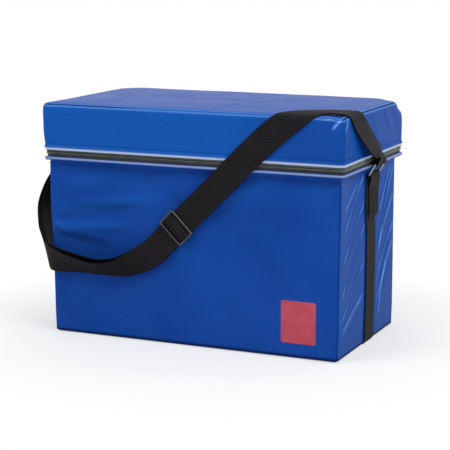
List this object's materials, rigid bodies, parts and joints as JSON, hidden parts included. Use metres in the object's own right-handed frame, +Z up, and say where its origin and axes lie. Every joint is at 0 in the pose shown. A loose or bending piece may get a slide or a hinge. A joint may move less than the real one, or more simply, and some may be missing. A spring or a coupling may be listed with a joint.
{
  "type": "specimen transport box",
  "caption": "Soft-sided insulated specimen transport box with a zip-round hinged lid, a webbing cradle with rings and an adjustable shoulder strap.",
  "frame": {"origin": "middle of the flat base, between the body's four walls", "axes": "+X to the right seen from the front, +Y to the back, +Z up"},
  "size_m": [0.5056, 0.2824, 0.3322],
  "materials": {
    "cover_fabric": "coated nylon, satin",
    "insulation_foam": "closed-cell foam",
    "liner": "welded film, satin",
    "label": "plain woven patch",
    "zip_tape": "woven tape",
    "zip_coil": "satin",
    "zip_metal": "satin",
    "webbing": "woven nylon webbing",
    "ring_steel": "polished",
    "adjuster_plastic": "moulded, satin"
  },
  "bodies": {
    "root": {"front_panel": "cover_fabric", "back_panel": "cover_fabric", "left_side_panel": "cover_fabric", "right_side_panel": "cover_fabric", "base_panel": "cover_fabric", "base_foam": "insulation_foam", "front_foam": "insulation_foam", "back_foam": "insulation_foam", "left_foam": "insulation_foam", "right_foam": "insulation_foam", "liner_tub": "liner", "rim_lip": "cover_fabric", "hinge_tape": "cover_fabric", "label_patch": "label", "lower_zip_tape": "zip_tape", "lower_zip_coil": "zip_coil", "lower_zip_stops": "zip_metal", "cradle_webbing": "webbing", "strap_over_lid": "webbing", "strap_front_run": "webbing", "strap_lower_run": "webbing", "strap_return_run": "webbing"},
    "lid": {"lid_top_panel": "cover_fabric", "lid_skirt": "cover_fabric", "lid_back_skirt": "cover_fabric", "lid_foam_board": "insulation_foam", "lid_front_foam": "insulation_foam", "lid_back_foam": "insulation_foam", "lid_left_foam": "insulation_foam", "lid_right_foam": "insulation_foam", "lid_front_strip": "insulation_foam", "lid_back_strip": "insulation_foam", "lid_left_strip": "insulation_foam", "lid_right_strip": "insulation_foam", "lid_liner": "liner", "upper_zip_tape": "zip_tape", "upper_zip_coil": "zip_coil", "upper_zip_stops": "zip_metal"},
    "ring_right": {"ring_right": "ring_steel"},
    "ring_left": {"ring_left": "ring_steel"},
    "tri_glide": {"tri_glide": "adjuster_plastic"},
    "zip_slider": {"zip_slider": "zip_metal"},
    "zip_pull": {"zip_pull": "zip_metal"}
  },
  "joints": [
    {"name": "lid_hinge", "type": "hinge", "parent": "root", "child": "lid", "pos_m": [0, 0.1264, 0.261], "axis": [-1, 0, 0], "range_deg": [0, 180], "deforming": ["hinge_tape", "strap_over_lid", "strap_front_run"]},
    {"name": "ring_right_swing", "type": "hinge", "parent": "root", "child": "ring_right", "pos_m": [0.219, 0.008, 0.238], "axis": [0, 1, 0], "range_deg": [0, 90], "deforming": ["strap_over_lid"]},
    {"name": "ring_left_swing", "type": "hinge", "parent": "root", "child": "ring_left", "pos_m": [-0.219, 0.008, 0.238], "axis": [0, -1, 0], "range_deg": [-30, 60], "deforming": ["strap_lower_run", "strap_return_run"]},
    {"name": "adjuster_slide", "type": "slide", "parent": "root", "child": "tri_glide", "axis": [0.7071, 0, 0.7071], "range_m": [-0.02, 0.02], "deforming": ["strap_front_run", "strap_lower_run", "strap_return_run"]},
    {"name": "zip_slide", "type": "slide", "parent": "root", "child": "zip_slider", "axis": [0, -1, 0], "range_m": [0, 0.17]},
    {"name": "zip_pull_swing", "type": "hinge", "parent": "zip_slider", "child": "zip_pull", "pos_m": [-0.2262, 0.085, 0.261], "axis": [0, 0, -1], "range_deg": [0, 180]}
  ]
}
